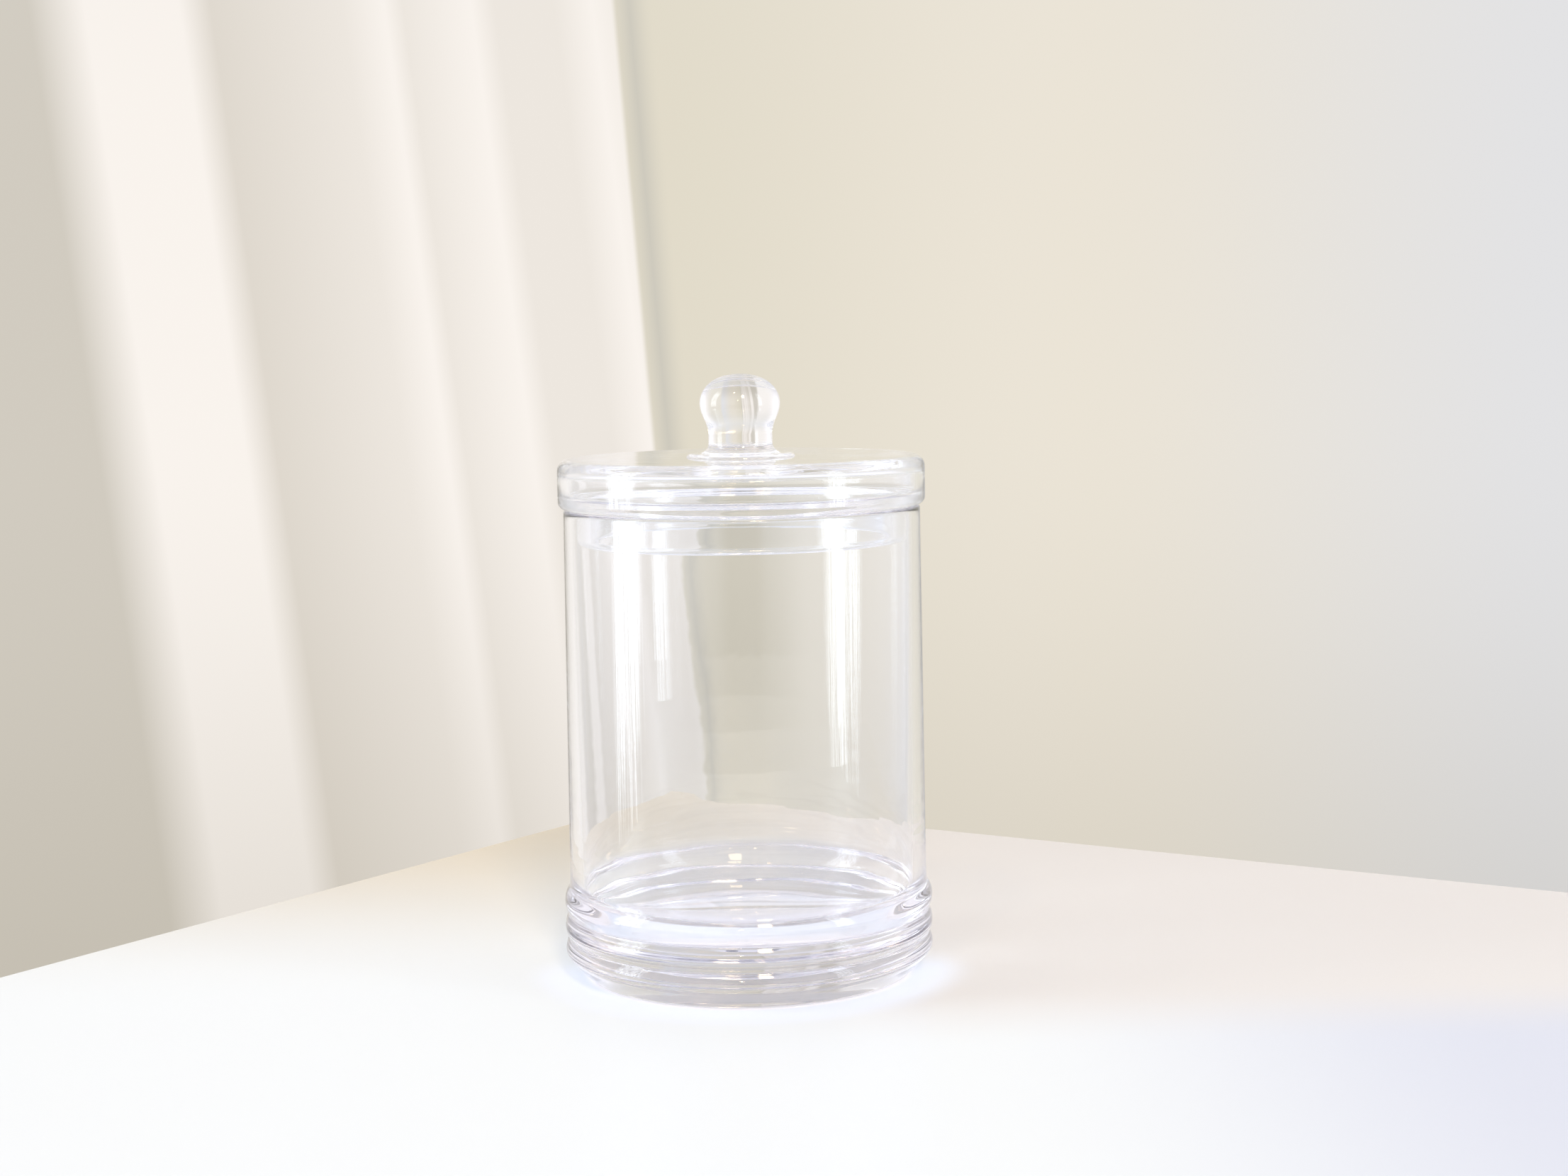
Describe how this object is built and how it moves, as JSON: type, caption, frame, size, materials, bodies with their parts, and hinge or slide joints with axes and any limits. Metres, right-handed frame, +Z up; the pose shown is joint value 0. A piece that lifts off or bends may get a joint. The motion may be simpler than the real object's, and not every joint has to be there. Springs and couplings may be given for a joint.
{
  "type": "empty candle jar with knob lid",
  "caption": "Clear glass candle jar with bead rings round a thick base and a hollow lift-off plug lid with a solid glass knob.",
  "frame": {"origin": "middle of the foot's flat ring, on the surface that the jar stands on", "axes": "+Z up along the jar's axis, towards the knob; the jar is round, so +X and +Y have no front"},
  "size_m": [0.1044, 0.1044, 0.1691],
  "materials": {
    "jar_glass": "clear glass, fire polished, faintly wavy inside",
    "lid_glass": "clear glass, faint cold blue in the thick edges",
    "knob_glass": "clear solid glass, fire polished"
  },
  "bodies": {
    "jar": {"jar": "jar_glass"},
    "lid": {"lid": "lid_glass", "knob_collar": "knob_glass", "knob": "knob_glass"}
  },
  "joints": [
    {"name": "lid_lift", "type": "slide", "parent": "jar", "child": "lid", "axis": [0, 0, 1], "range_m": [0, 0.12]}
  ]
}
